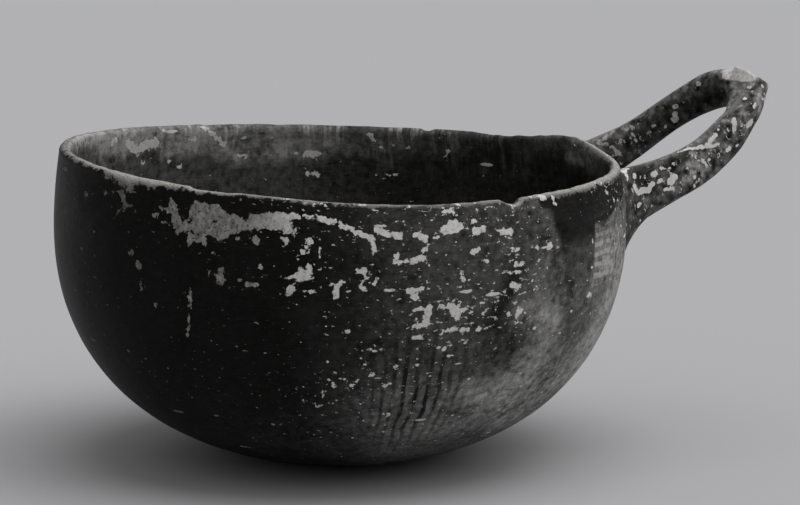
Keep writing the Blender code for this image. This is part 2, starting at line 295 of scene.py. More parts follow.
FRONT_LIME = (
    (-109, 89.1, -108, 89.1, 1.4), (-106.8, 89.2, -103, 87.8, 1.8), (-103, 87.8, -99.9, 85.3, 1.8),
    (-99.9, 85.3, -97, 83.5, 1.8), (-97, 83.5, -96.2, 82.8, 2.3), (-95.9, 81, -95.8, 78.9, 1.6),
    (-94.9, 85.2, -92.8, 83.9, 2.3), (-92.8, 83.9, -90.8, 83.4, 2.1), (-87.8, 83.4, -86.1, 82.6, 2.1),
    (-84.4, 82.3, -83.8, 82.3, 1.1), (-82, 84.6, -79.2, 85.4, 3), (-81, 86, -79.9, 86.3, 2.1),
    (-76.3, 86.4, -75.8, 86.2, 1.5), (-75.7, 83.8, -74.4, 83.8, 2.7), (-70, 82.5, -68, 82.4, 2.4),
    (-76.8, 77.2, -75.5, 78.4, 1.8), (-74.3, 74.8, -73.6, 74.4, 1.4), (-81.8, 90, -81, 90, 1.6),
    (-79.9, 89.8, -79.7, 89.8, 1.1), (-86.4, 79.1, -86, 79.1, 1.6), (-108.1, 82.5, -107.7, 81.7, 2.1),
    (-109, 79.1, -108.3, 78.8, 1.7), (-105.8, 79.5, -105.8, 77.6, 1.6), (-91.7, 75.7, -89.2, 75.8, 1.3),
    (-89.2, 75.8, -86.6, 76.7, 2.1), (-91.8, 77.4, -91.4, 77.3, 1.2), (-109.4, 73.6, -108.7, 71.4, 2.5),
    (-107.8, 74.6, -107.6, 71.6, 1.7), (-112.8, 71, -110.2, 71.9, 0.9), (-110.4, 70.4, -110.9, 69, 1.3),
    (-111, 68.6, -111.6, 66.3, 2), (-108.8, 67.6, -107.1, 67.4, 0.9), (-104, 69.8, -101.3, 70, 1.3),
    (-102.8, 69.4, -102.9, 65.9, 1.8), (-99, 73.6, -97.4, 73.3, 1.7), (-97.3, 73.2, -97.3, 71.2, 1.4),
    (-97.3, 71.2, -98.3, 69.6, 1.3), (-98.3, 69.4, -97.3, 67.3, 1.5), (-96.6, 74.5, -96.2, 74.4, 1),
    (-95.5, 70.5, -95.8, 69, 1), (-89.2, 67.3, -87, 67.5, 1.6), (-88.6, 66.6, -87.9, 65.3, 2.2),
    (-78.7, 71.9, -78.4, 69.7, 1.2), (-79.3, 67.6, -78.6, 67.5, 1.4), (-84, 68.2, -83.6, 68, 1.2),
    (-86.2, 69.6, -85.8, 69.6, 1.2), (-67.6, 77.4, -66.8, 77.2, 1.7), (-66.8, 72.6, -65.6, 72.6, 1.8),
    (-66.6, 70.2, -66, 70.2, 1.5), (-67.8, 66.6, -66.4, 66, 1.9), (-65.4, 58.4, -65.8, 56.8, 2.1),
    (-68, 57.4, -67.6, 57.2, 1.5), (-62, 77, -61.6, 76.8, 1.6), (-58.4, 77.2, -58.2, 76.4, 1.7),
    (-61.6, 67.4, -61.2, 66.8, 1.4), (-64.2, 70.6, -64, 70.4, 1.3), (-59.4, 91.4, -58.6, 91.2, 2.3),
    (-56, 90.8, -55.8, 89, 1.9), (-36, 88.4, -35.6, 88, 1.8), (-32.5, 85.6, -32.3, 85, 1.3),
    (-44.3, 75.4, -44.2, 74.8, 1.1), (-33, 73.6, -32.6, 71.6, 0.9), (-95.6, 41.4, -95.3, 41.6, 1.3),
    (-93.2, 37.6, -92.1, 38.4, 1.4), (-91, 43.9, -90.8, 43.6, 1.1), (-87.3, 34.6, -87, 34.4, 1.4),
    (-95.6, 48.9, -95.4, 48.8, 1.2), (-83.6, 39.9, -83.3, 40, 1), (-97.5, 44.5, -97.3, 44.5, 1),
    (-104.4, 39.7, -103.6, 37.7, 1), (-100.3, 37.3, -98.7, 39.9, 1), (-105.8, 35.6, -105.8, 33.9, 1.1),
    (-106.4, 31.4, -105, 32.1, 1.1), (-91.4, 26.7, -91, 28.9, 1.2), (-110.3, 32.7, -109.8, 32.7, 1),
    (-101.3, 55.2, -100.6, 55.4, 1.3), (-97, 49.6, -96.6, 49.4, 1.2), (-86.6, 44, -86.2, 43.8, 1.1),
    (-44.6, 59, -43, 58.2, 1.4),
)
CLUSTER_LIME = (
    (-85.1, 61.8, -85.8, 57, 2.5), (-88, 61.1, -85.5, 61.6, 1.5), (-83.1, 62, -81.5, 61.6, 1.5),
    (-80.8, 61.6, -79.4, 59.2, 3.1), (-79, 62.4, -78.9, 62.2, 1.3), (-78.1, 60.5, -77.5, 60.4, 1.4),
    (-76.6, 59, -76.2, 58.8, 1.2), (-74.4, 58.8, -73.7, 58.7, 1), (-72.2, 61.8, -70.8, 62, 0.9),
    (-74.6, 62.4, -74, 62, 1), (-87.7, 57.8, -87.4, 56.2, 1.5), (-89.2, 56, -88.9, 55.9, 1.1),
    (-84.6, 57.2, -84, 57, 1.1), (-87.8, 53.1, -86.5, 53, 1.5), (-82.7, 53.4, -80.4, 54.6, 1),
    (-80.4, 54.6, -79.2, 54.8, 1.1), (-78.3, 54.4, -76.9, 54.2, 1.5), (-78.4, 56.4, -77.8, 55.8, 1.1),
    (-74.9, 53.7, -72.2, 54.1, 0.9), (-83.4, 49.8, -83, 49.4, 1.1), (-81.6, 48.6, -80.8, 49.2, 1),
    (-80.2, 46.4, -79.6, 46.2, 1.1), (-77.1, 49.8, -76.5, 49.7, 1.4), (-75.4, 48.4, -75, 48.2, 1),
)
INNER_LIME = (
    (133.4, 92.7, 130.6, 90.4, 2.8), (130.6, 90.2, 128, 90.5, 2.5), (128, 91, 123.9, 91, 3),
    (126.6, 92.3, 125.8, 92, 1.8), (124.3, 92.3, 123.7, 90.6, 2), (139, 95, 137.2, 93.4, 1.7),
    (140.6, 92.8, 138.5, 92.8, 1.1), (142.4, 92, 142.1, 91.6, 1.4), (136.9, 91.4, 136.7, 90.6, 1.3),
    (149.2, 92, 149, 91.8, 1.5), (129.8, 87.8, 129.4, 87, 1.4), (128, 84.8, 127.4, 84.2, 1.5),
    (121, 86.1, 118.6, 83.7, 1.2), (118.6, 83.7, 116.3, 82, 1.2), (111.2, 95.9, 108.3, 92, 2.2),
    (108.3, 92, 104.9, 87.9, 1.9), (114.9, 91.7, 112.7, 91.5, 1.9), (122.5, 96.4, 120.7, 93.5, 0.9),
    (102.2, 83.4, 100, 83.8, 1.8), (100.7, 90.4, 100.5, 90, 1.4), (93.8, 90.4, 93.6, 90, 1.3),
    (88.8, 85, 86.6, 82.2, 1.5), (85.8, 83.3, 83, 83.2, 2.5), (85.9, 77.9, 82.9, 77.7, 2.4),
    (71.4, 91, 70.2, 88.2, 1.5), (71.9, 85, 71.7, 84.8, 1.2), (70.3, 77.8, 69, 76.1, 1.1),
    (69, 76.1, 65, 76.9, 1), (55, 90.4, 54.8, 90, 1.5), (52.8, 86.4, 52.4, 86, 1.7),
    (62.7, 86.4, 62.3, 85.8, 1.3), (54.4, 83.4, 53.4, 83.2, 1),
)
# Holes and a crack in the big patch
LIME_GAPS = (
    (-129.5, 87, -128.9, 86.9, 0.9), (-126.6, 86.5, -125.8, 86.2, 1.3), (-124.6, 91.3, -123.6, 89.6, 1.3),
    (-122.1, 85.7, -121.7, 85.4, 0.9), (-132, 86.8, -130.1, 81.4, 0.4), (-132.6, 91, -132.5, 88.6, 1.4),
)


def on_wall(rows, depth=0.0):
    """Strokes between two places on the wall, from angles, heights and widths in millimetres."""
    strokes = []
    for turn, height, end_turn, end_height, width in rows:
        start = wall_place(turn, height / 1000, depth)
        strokes.append((start, wall_place(end_turn, end_height / 1000, depth), width / 1000))
    return strokes


DRIFT_SHIFTS = (Vector((0.0, 0.0, 0.0)), Vector((31.4, 5.2, 17.3)), Vector((-12.7, 44.1, 8.6)))


def drifting(spots):
    """Three slow noises, about -1 to 1, at every point."""
    rows = []
    for spot in spots:
        place = Vector(spot) * 60.0
        rows.append([noise.turbulence(place + shift, 4, False) for shift in DRIFT_SHIFTS])
    return np.array(rows)


def wall_fields(spots):
    """Angle in degrees, distance below the lip and a slow drift, for every point of the bowl."""
    turns = np.degrees(np.arctan2(spots[:, 1], spots[:, 0]))
    crest = RIM_HEIGHT + np.array([rim_lift(turn) - rim_loss(turn) for turn in turns])
    return turns, crest - spots[:, 2], drifting(spots)


spots = places(mesh)
turns, below_lip, drift = wall_fields(spots)
radii = np.hypot(spots[:, 0], spots[:, 1])
heights = spots[:, 2]
unlifted = np.array([min(max(lowered(z, turn), 0.0), LIP_START) for z, turn in zip(heights, turns)])
faces = np.array([outer_radius(z) for z in unlifted])
outside = radii > faces - WALL / 2
bent_turns = turns + 5.0 * drift[:, 0]
bent_heights = heights * 1000 + 6.0 * drift[:, 1]

# Grey by angle, black on the left and behind, and the clouds on it by angle, height, spreads, strength
# The rise in grey toward the right is partly worn slip and partly painted light.
GREY_WORN_AND_LIT = (
    (-180, 0.05), (-166, 0.03), (-150, 0.015), (-112, 0.018), (-100, 0.06), (-90, 0.13), (-78, 0.19),
    (-62, 0.24), (-40, 0.32), (-25, 0.40), (0, 0.34), (60, 0.12), (180, 0.05),
)
ground = clouded(
    bent_turns,
    bent_heights,
    between(bent_turns, GREY_WORN_AND_LIT),
    (
        (-58, 54, 5, 7, 0.40),
        (-61, 43, 6, 6, 0.28),
        (-46, 60, 2.2, 3, 0.24),
        (-46, 50, 4, 5, -0.12),
        (-65, 33, 14, 7, 0.42),
        (-60, 21, 16, 6, 0.30),
        # painted rim light along the right edge, over pale worn slip
        (-24, 50, 11, 38, 0.62),
        (-45, 33, 12, 14, 0.26),
        (-88, 30, 12, 16, 0.20),
        (-172, 86, 9, 12, 0.04),
        (-63, 46, 5, 5, -0.12),
        (-34, 68, 6, 7, 0.14),
        (-60, 70, 4, 9, 0.08),
        (-67.5, 60, 4, 14, -0.18),
        (-22, 86, 8, 11, -0.42),
        # painted light from below, low on the front
        (-105, 14, 40, 12, 0.08),
    ),
)
# A smoke stain by the near root, with a crisp right side
stain_left = np.interp(bent_heights, [50, 58, 64, 75, 82, 87, 92], [-48, -51, -52, -55.2, -57.4, -60, -63])
stain_right = np.interp(bent_heights, [50, 60, 63, 81, 84, 88], [-44, -45, -43.2, -43.2, -34, -6])
stain = np.clip((bent_turns - stain_left) / 2.2 + 0.5, 0.0, 1.0)
stain *= np.clip((stain_right - turns) / 0.8 + 0.5, 0.0, 1.0)
stain *= np.interp(bent_heights, [53, 60, 71, 77], [0.0, 0.36, 0.50, 1.0])
ground *= 1 - 0.86 * stain
ground = np.maximum(ground, np.interp(turns, [-100, -75, 0, 40], [0.0, 0.04, 0.04, 0.0]))

# Inside, by angle, in painted light and shade: how far the pale lit band hangs down in millimetres, to the
# painted shadow line of the near rim, its tone, lightest on the left, the tone below it in painted shade,
# and how much the lip's own painted shade takes off
PALE_DEPTH = (
    (-180, 2), (0, 8), (20, 6), (60, 9), (96, 11.5), (117, 9.8), (129, 7.4), (145, 6.0), (170, 3), (180, 2),
)
PALE_INSIDE = (
    (-180, 0.95), (-150, 0.6), (-90, 0.10), (-10, 0.10), (5, 0.34), (20, 0.24), (35, 0.12), (52, 0.20),
    (75, 0.38), (95, 0.62), (115, 0.74), (140, 0.78), (180, 0.95),
)
DEEP_INSIDE = (
    (-180, 0.34), (-150, 0.24), (-90, 0.07), (35, 0.07), (60, 0.08), (80, 0.15), (100, 0.21), (130, 0.24),
    (160, 0.32), (180, 0.34),
)
SHADED_INSIDE = ((20, 0.0), (50, 0.2), (80, 0.5), (120, 0.42), (150, 0.0))


def inner_wear_and_light(spots, turns, below_lip, drift):
    """Tone inside, painted light and shade over the slip: a pale lit band that hangs from the lip, in
    painted shade below it and just under the lip.
    """
    inward = np.hypot(spots[:, 0], spots[:, 1])
    above_edge = between(turns, PALE_DEPTH) - below_lip * 1000 + 4.0 * drift[:, 2]
    share = np.clip(0.5 + above_edge / 2.6, 0.0, 1.0)
    deep = 0.14 + (between(turns, DEEP_INSIDE) - 0.14) * np.clip((inward - 0.012) / 0.040, 0.0, 1.0)
    worn = deep + (between(turns, PALE_INSIDE) - deep) * share
    return worn * (1 - between(turns, SHADED_INSIDE) * np.exp(-((below_lip * 1000 / 2.2) ** 2)))


# Outside and in, the ground tone carries painted light and shade as well as the slip's wear.
store(mesh, "ground", np.where(outside, ground, inner_wear_and_light(spots, turns, below_lip, drift)))

outer_lime = on_wall(LEFT_LIME + FRONT_LIME + CLUSTER_LIME)
lime = dabbed(spots, outer_lime) - np.maximum(dabbed(spots, on_wall(LIME_GAPS), 0.0016) - 0.2, 0.0)
store(mesh, "lime", np.where(outside, lime, dabbed(spots, on_wall(INNER_LIME, WALL), 0.0020)))
whiteness = np.interp(turns, [-150, -140, -119, -108, 0], [0.0, 0.2, 0.3, 0.85, 1.0])
store(mesh, "whiteness", np.where(outside, whiteness, 1.0))

speck_zone = clouded(
    turns,
    heights * 1000,
    np.interp(turns, [-150, -110, -90, -40], [0.20, 0.20, 0.26, 0.26]),
    (
        (-80, 58, 11, 9, 0.40),
        (-66, 66, 8, 16, 0.35),
        (-84, 86, 26, 6, 0.20),
        (-100, 74, 22, 8, 0.12),
        (-105, 35, 22, 12, 0.20),
        (-128, 78, 12, 6, 0.10),
        (-30, 86, 10, 8, 0.30),
    ),
)
speck_zone += 0.30 * dabbed(spots, outer_lime, 0.010) * (turns > -120)
speck_zone += 0.35 * np.exp(-((below_lip / 0.003) ** 2)) * (turns > -125)
speck_zone *= 1 - 0.9 * stain * (turns < -43)
inner_specks = np.where(radii > 0.062, 0.04, 0.0)
store(mesh, "specks", np.where(outside, np.where(turns < 20, speck_zone, 0.06), inner_specks))

# How far the lip is rubbed down to the clay, in millimetres by angle, outside and inside
BAND_BELOW_LIP = (
    (-180, 0.8), (-165, 1.0), (-158, 1.4), (-154, 1.9), (-151, 3.0), (-148.6, 3.6), (-147.4, 5.0),
    (-146.2, 3.4), (-144, 2.3), (-141.5, 3.4), (-139, 2.0), (-136.5, 1.9), (-132, 1.1), (-110, 0.9),
    (-90, 0.7), (-70, 0.7), (-62, 1.1), (-50, 1.7), (-35, 1.9), (-20, 2.4), (20, 2.6), (60, 0.7),
    (120, 0.7), (180, 0.8),
)
INNER_BAND = (
    (-180, 0.9), (-60, 0.2), (-20, 0.8), (10, 0.8), (35, -1.3), (75, -1.6), (130, -0.9), (180, 0.9),
)
rubbed = np.where(outside, between(turns, BAND_BELOW_LIP), between(turns, INNER_BAND))
store(mesh, "edge", 0.5 + 0.5 * (rubbed - below_lip * 1000) / np.maximum(rubbed, 1.2))

# Where the painter's lines show
meridians = clouded(turns, heights * 1000, np.zeros(len(turns)), ((-86, 34, 10, 17, 1.2),))
store(mesh, "meridians", np.where(outside, meridians, 0.0))
rungs = np.interp(turns, [-43.4, -42.8, -37, -33], [0.0, 1.0, 1.0, 0.0])
rungs *= np.interp(heights * 1000, [60.5, 62, 73, 84], [0.0, 1.0, 0.9, 0.0])
store(mesh, "rungs", np.where(outside, rungs, 0.0))
strokes = np.clip(1.25 - below_lip / 0.014, 0.0, 1.0)
strokes *= np.interp(turns, [0, 35, 60, 150], [0.0, 0.3, 1.0, 1.0])
store(mesh, "strokes", np.where(outside, 0.0, strokes))

# The finish's wrap: distance round the belly, and up the outside or down the inside
INSIDE_WRAP = 0.3
curve = np.array(outer_curve())
climbs = np.concatenate([[0.0], np.cumsum(np.hypot(*np.diff(curve, axis=0).T))])
along = np.interp(unlifted, curve[:, 1], climbs) + (heights - unlifted)
wrapped(mesh, np.radians(turns) * BELLY_RADIUS, FULL_ROUND, np.where(outside, along, INSIDE_WRAP - along))


def join(tree, value, socket):
    """Feeds a socket from another one, or sets it to a number or a colour."""
    if isinstance(value, bpy.types.NodeSocket):
        tree.links.new(value, socket)
    else:
        socket.default_value = value


def reckon(tree, operation, first, second=0.0, third=0.0):
    """A sum, product or other reckoning of two or three values."""
    node = tree.nodes.new("ShaderNodeMath")
    node.operation = operation
    for value, socket in zip((first, second, third), node.inputs):
        join(tree, value, socket)
    return node.outputs[0]


def swayed(tree, value, grains, amount):
    """A value moved up and down by so much of a noise that averages a half."""
    return reckon(tree, "MULTIPLY_ADD", reckon(tree, "SUBTRACT", grains, 0.5), amount, value)


def spread(tree, value, low, high, start=0.0, end=1.0):
    """Stretches the values between low and high smoothly to those from start to end."""
    node = tree.nodes.new("ShaderNodeMapRange")
    node.interpolation_type = "SMOOTHSTEP"
    names = ("Value", "From Min", "From Max", "To Min", "To Max")
    for number, name in zip((value, low, high, start, end), names):
        join(tree, number, node.inputs[name])
    return node.outputs["Result"]


def grain(tree, place, scale, detail=2.0, roughness=0.5):
    """Fractal noise at a scale of so many features to the metre."""
    node = tree.nodes.new("ShaderNodeTexNoise")
    join(tree, place, node.inputs["Vector"])
    node.inputs["Scale"].default_value = scale
    node.inputs["Detail"].default_value = detail
    node.inputs["Roughness"].default_value = roughness
    return node.outputs["Fac"]


def stretched(tree, place, scale, turn=0.0):
    """Coordinates stretched and turned, for streaks that run one way."""
    node = tree.nodes.new("ShaderNodeMapping")
    join(tree, place, node.inputs["Vector"])
    node.inputs["Scale"].default_value = scale
    node.inputs["Rotation"].default_value = (0.0, 0.0, turn)
    return node.outputs["Vector"]


def blended(tree, share, first, second):
    """A colour between two others."""
    node = tree.nodes.new("ShaderNodeMix")
    node.data_type = "RGBA"
    join(tree, share, node.inputs["Factor"])
    colours = [socket for socket in node.inputs if socket.type == "RGBA"]
    join(tree, first, colours[0])
    join(tree, second, colours[1])
    return [socket for socket in node.outputs if socket.type == "RGBA"][0]


def wrap_map(tree):
    """The piece's own wrap, in metres round it and along it."""
    node = tree.nodes.new("ShaderNodeUVMap")
    node.uv_map = "wrap"
    return node.outputs["UV"]


def new_group(name, inputs, outputs):
    """A node group with named inputs and outputs, and its place on the object and in the wrap."""
    tree = bpy.data.node_groups.new(name, "ShaderNodeTree")
    for label in inputs:
        tree.interface.new_socket(label, in_out="INPUT", socket_type="NodeSocketFloat")
    for label, kind in outputs:
        tree.interface.new_socket(label, in_out="OUTPUT", socket_type=kind)
    entry = tree.nodes.new("NodeGroupInput")
    leave = tree.nodes.new("NodeGroupOutput")
    place = tree.nodes.new("ShaderNodeTexCoord").outputs["Object"]
    return tree, entry.outputs, leave.inputs, place, wrap_map(tree)


def make_slip():
    """Burnished dark slip, black where whole and grey where it has worn, its grey also carrying painted
    light and shade, with the pebble's strokes.
    """
    number = "NodeSocketFloat"
    outputs = (("Color", "NodeSocketColor"), ("Roughness", number), ("Height", number))
    tree, given, result, place, wrap = new_group("burnished_slip", ("Wear",), outputs)
    cloud = grain(tree, place, 55.0, 5.0, 0.6)
    mottle = grain(tree, place, 420.0, 6.0, 0.68)
    pebble = grain(tree, stretched(tree, wrap, (0.10, 1.0, 1.0)), 1500.0, 3.0, 0.6)
    change = swayed(tree, swayed(tree, swayed(tree, 1.0, cloud, 1.8), mottle, 3.4), pebble, 0.6)
    wear_and_light = reckon(tree, "MULTIPLY", given["Wear"], reckon(tree, "MAXIMUM", change, 0.05))
    wear_and_light = reckon(tree, "ADD", wear_and_light, spread(tree, pebble, 0.45, 0.75, 0.0, 0.012))
    share = reckon(tree, "POWER", wear_and_light, 1.22)
    tone = blended(tree, share, (0.0056, 0.0053, 0.0049, 1.0), (0.450, 0.444, 0.430, 1.0))
    join(tree, tone, result["Color"])
    join(tree, spread(tree, wear_and_light, 0.0, 0.6, 0.42, 0.68), result["Roughness"])
    fine = grain(tree, place, 2600.0, 3.0, 0.6)
    relief = reckon(tree, "MULTIPLY_ADD", pebble, 0.6, reckon(tree, "MULTIPLY", fine, 0.35))
    join(tree, reckon(tree, "MULTIPLY_ADD", mottle, 0.5, relief), result["Height"])
    return tree


def make_edge_wear():
    """Slip rubbed through to the pale, gritty clay along lips and edges."""
    outputs = (("Mask", "NodeSocketFloat"), ("Color", "NodeSocketColor"))
    tree, given, result, place, _ = new_group("rubbed_edge", ("Edge",), outputs)
    ragged = grain(tree, place, 330.0, 7.0, 0.7)
    join(tree, spread(tree, swayed(tree, given["Edge"], ragged, 2.2), 0.47, 0.62), result["Mask"])
    grit = grain(tree, place, 2300.0, 3.0, 0.65)
    bare = spread(tree, given["Edge"], 0.55, 0.95, 0.2, 1.0)
    tone = reckon(tree, "MULTIPLY", spread(tree, grit, 0.30, 0.56), bare)
    join(tree, blended(tree, tone, (0.10, 0.097, 0.09, 1.0), (0.47, 0.46, 0.435, 1.0)), result["Color"])
    return tree


def make_lime():
    """White lime crust in crisp ragged patches and specks, with small dark pits."""
    outputs = (("Mask", "NodeSocketFloat"), ("Color", "NodeSocketColor"), ("Height", "NodeSocketFloat"))
    tree, given, result, place, wrap = new_group("lime_crust", ("Cover", "Specks", "Whiteness"), outputs)
    ragged = grain(tree, place, 620.0, 4.0, 0.58)
    lobes = grain(tree, place, 260.0, 1.0, 0.5)
    cover = reckon(tree, "MULTIPLY_ADD", given["Cover"], 2.0, -0.5)
    cover = swayed(tree, swayed(tree, cover, ragged, 2.4), lobes, 0.7)
    patch = spread(tree, cover, 0.46, 0.62)
    flecks = grain(tree, stretched(tree, wrap, (0.62, 1.0, 1.0)), 760.0, 5.0, 0.62)
    least = reckon(tree, "MULTIPLY_ADD", given["Specks"], -0.125, 0.678)
    fleck = spread(tree, reckon(tree, "SUBTRACT", flecks, least), 0.0, 0.03)

    bent = tree.nodes.new("ShaderNodeVectorMath")
    bent.operation = "MULTIPLY_ADD"
    wobble = tree.nodes.new("ShaderNodeTexNoise")
    join(tree, wrap, wobble.inputs["Vector"])
    wobble.inputs["Scale"].default_value = 900.0
    join(tree, wobble.outputs["Color"], bent.inputs[0])
    bent.inputs[1].default_value = (0.0011, 0.0008, 0.0)
    join(tree, wrap, bent.inputs[2])
    masks = [patch, fleck]
    shapes = ((0.0, 0.7, 330.0, 0.16), (0.9, 0.22, 230.0, 0.16), (-0.7, 0.25, 210.0, 0.14))
    for turn, across, scale, size in shapes:
        cells = tree.nodes.new("ShaderNodeTexVoronoi")
        join(tree, stretched(tree, bent.outputs[0], (across, 1.0, 1.0), turn), cells.inputs["Vector"])
        cells.inputs["Scale"].default_value = scale
        parts = tree.nodes.new("ShaderNodeSeparateColor")
        join(tree, cells.outputs["Color"], parts.inputs[0])
        there = reckon(tree, "LESS_THAN", parts.outputs[0], given["Specks"])
        reach = reckon(tree, "MULTIPLY", reckon(tree, "POWER", parts.outputs[1], 2.0), size)
        reach = reckon(tree, "ADD", reach, 0.045)
        speck = spread(tree, reckon(tree, "SUBTRACT", reach, cells.outputs["Distance"]), 0.0, 0.03)
        masks.append(reckon(tree, "MULTIPLY", speck, there))
    mask = masks[0]
    for speck in masks[1:]:
        mask = reckon(tree, "MAXIMUM", mask, speck)
    join(tree, mask, result["Mask"])

    pits = spread(tree, grain(tree, place, 1250.0, 3.0, 0.6), 0.57, 0.65)
    chalk = grain(tree, place, 620.0, 5.0, 0.6)
    share = reckon(tree, "MULTIPLY_ADD", chalk, 0.9, given["Whiteness"])
    tone = blended(tree, spread(tree, share, 0.4, 1.6), (0.10, 0.097, 0.09, 1.0), (0.80, 0.79, 0.76, 1.0))
    pit_share = reckon(tree, "MULTIPLY", pits, reckon(tree, "SUBTRACT", 1.1, given["Whiteness"]))
    join(tree, blended(tree, pit_share, tone, (0.05, 0.048, 0.045, 1.0)), result["Color"])
    crust = reckon(tree, "MULTIPLY_ADD", chalk, 0.5, 0.5)
    join(tree, reckon(tree, "MULTIPLY", mask, reckon(tree, "SUBTRACT", crust, pits)), result["Height"])
    return tree


BURNISHED_SLIP = make_slip()
RUBBED_EDGE = make_edge_wear()
LIME_CRUST = make_lime()


def attribute(tree, name):
    """Reads a number stored on the mesh."""
    node = tree.nodes.new("ShaderNodeAttribute")
    node.attribute_name = name
    return node.outputs["Fac"]


def placed(tree, group, **given):
    """Puts a node group into a material with its own values, and returns its outputs."""
    node = tree.nodes.new("ShaderNodeGroup")
    node.node_tree = group
    for name, value in given.items():
        join(tree, value, node.inputs[name])
    return node.outputs


def clay_finish(name, darkened=None):
    """A pot's finish: slip, rubbed through at the edges, with lime crust over both."""
    material = bpy.data.materials.new(name)
    material.use_nodes = True
    tree = material.node_tree
    shader = tree.nodes["Principled BSDF"]
    wear_and_light = attribute(tree, "ground")
    if darkened:
        wear_and_light = darkened(tree, wear_and_light)
    slip = placed(tree, BURNISHED_SLIP, Wear=wear_and_light)
    edge = placed(tree, RUBBED_EDGE, Edge=attribute(tree, "edge"))
    lime = placed(
        tree,
        LIME_CRUST,
        Cover=attribute(tree, "lime"),
        Specks=attribute(tree, "specks"),
        Whiteness=attribute(tree, "whiteness"),
    )
    clay = blended(tree, edge["Mask"], slip["Color"], edge["Color"])
    join(tree, blended(tree, lime["Mask"], clay, lime["Color"]), shader.inputs["Base Color"])
    matte = reckon(tree, "MAXIMUM", edge["Mask"], lime["Mask"])
    rough = reckon(tree, "MAXIMUM", slip["Roughness"], reckon(tree, "MULTIPLY", matte, 0.85))
    join(tree, rough, shader.inputs["Roughness"])
    shader.inputs["Specular IOR Level"].default_value = 0.03
    relief = reckon(tree, "MULTIPLY_ADD", slip["Height"], 0.25, lime["Height"])
    bump = tree.nodes.new("ShaderNodeBump")
    bump.inputs["Strength"].default_value = 0.6
    bump.inputs["Distance"].default_value = 0.00022
    join(tree, relief, bump.inputs["Height"])
    join(tree, bump.outputs["Normal"], shader.inputs["Normal"])
    return material


MERIDIAN_PITCH = 0.0037
RUNG_PITCH = 0.0032


def painted_lines(tree, wear_and_light):
    """The painter's thin lines: dark ones low on the front, rungs by the handle, strokes inside the rim."""
    wrap = wrap_map(tree)
    parts = tree.nodes.new("ShaderNodeSeparateXYZ")
    join(tree, wrap, parts.inputs[0])
    drift = grain(tree, wrap, 60.0, 3.0)
    phase = reckon(tree, "MULTIPLY", parts.outputs["X"], 2 * math.pi / MERIDIAN_PITCH)
    phase = reckon(tree, "MULTIPLY_ADD", drift, 9.0, phase)
    broken = grain(tree, stretched(tree, wrap, (1.0, 0.3, 1.0)), 210.0, 3.0, 0.6)
    line = reckon(tree, "MULTIPLY", spread(tree, broken, 0.32, 0.54), attribute(tree, "meridians"))
    line = reckon(tree, "MULTIPLY", spread(tree, reckon(tree, "SINE", phase), -0.1, 0.7), line)
    kept = reckon(tree, "MULTIPLY", wear_and_light, reckon(tree, "MULTIPLY_ADD", line, -0.85, 1.0))
    phase = reckon(tree, "MULTIPLY", parts.outputs["Y"], 2 * math.pi / RUNG_PITCH)
    phase = reckon(tree, "MULTIPLY_ADD", drift, 7.0, phase)
    bar = spread(tree, reckon(tree, "SINE", phase), -0.2, 0.5)
    bar = reckon(tree, "MULTIPLY", bar, attribute(tree, "rungs"))
    kept = reckon(tree, "MULTIPLY_ADD", bar, 0.46, kept)
    brushed = grain(tree, stretched(tree, wrap, (1.0, 0.08, 1.0)), 420.0, 3.0, 0.6)
    stroke = reckon(tree, "MULTIPLY", spread(tree, brushed, 0.44, 0.58), attribute(tree, "strokes"))
    patchy = spread(tree, grain(tree, wrap, 90.0, 3.0), 0.40, 0.65)
    return reckon(tree, "MULTIPLY_ADD", reckon(tree, "MULTIPLY", stroke, patchy), 0.45, kept)


mesh.materials.append(clay_finish("bowl_slip", painted_lines))
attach(bowl_shell, "root")
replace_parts(bowl_shell, "bowl_body")


# The handle: a flat strap of clay bent up into a wishbone, wider at its roots, drawn thick at the crown,
# where a spur once stood. Its stub ends in a rough pale break. The strap was joined while leather-hard and
# covered with the same slip.
ROOT_HALF_SPREAD = 0.0190
ROOT_HEIGHT = RIM_HEIGHT - 0.0151
ROOT_SINK = 0.0032
HANDLE_REACH = 0.0415
HANDLE_RISE = 0.0302
STRAP_WIDTH = 0.0130
STRAP_THICKNESS = 0.0060
STRAP_CORNER_POWER = 0.62
STRAP_SIDES = 56
SPUR_BREAK_HEIGHT = 0.0079
SPUR_RADIUS = 0.0070
SPUR_TIP_RADIUS = 0.0054
SPUR_LEAN = 20.0
SPUR_BREAK_SLOPE = 31.0
CROWN_SWELL = Vector((0.1360, -0.0095, 0.1060))
STEPS_PER_STATION = 12
STRAP_WRAP_RADIUS = 0.0055

# The inner face from the near root round the crown to the far root, as shares of the reach, the half spread
# and the rise, and the width and thickness there as shares of the strap's
HANDLE_STATIONS = (
    (0.00, -1.00, 0.055, 1.48, 1.20),
    (0.35, -0.93, 0.225, 1.18, 1.00),
    (0.68, -0.70, 0.418, 1.09, 0.95),
    (0.93, -0.39, 0.705, 1.04, 1.25),
    (1.00, -0.02, 1.03, 0.86, 2.20),
    (0.93, 0.29, 1.05, 0.97, 1.40),
    (0.68, 0.62, 0.808, 0.86, 1.00),
    (0.35, 0.87, 0.455, 0.94, 1.00),
    (0.00, 1.00, 0.17, 1.28, 1.20),
)
LAST_STATION = len(HANDLE_STATIONS) - 1
UP = Vector((0.0, 0.0, 1.0))


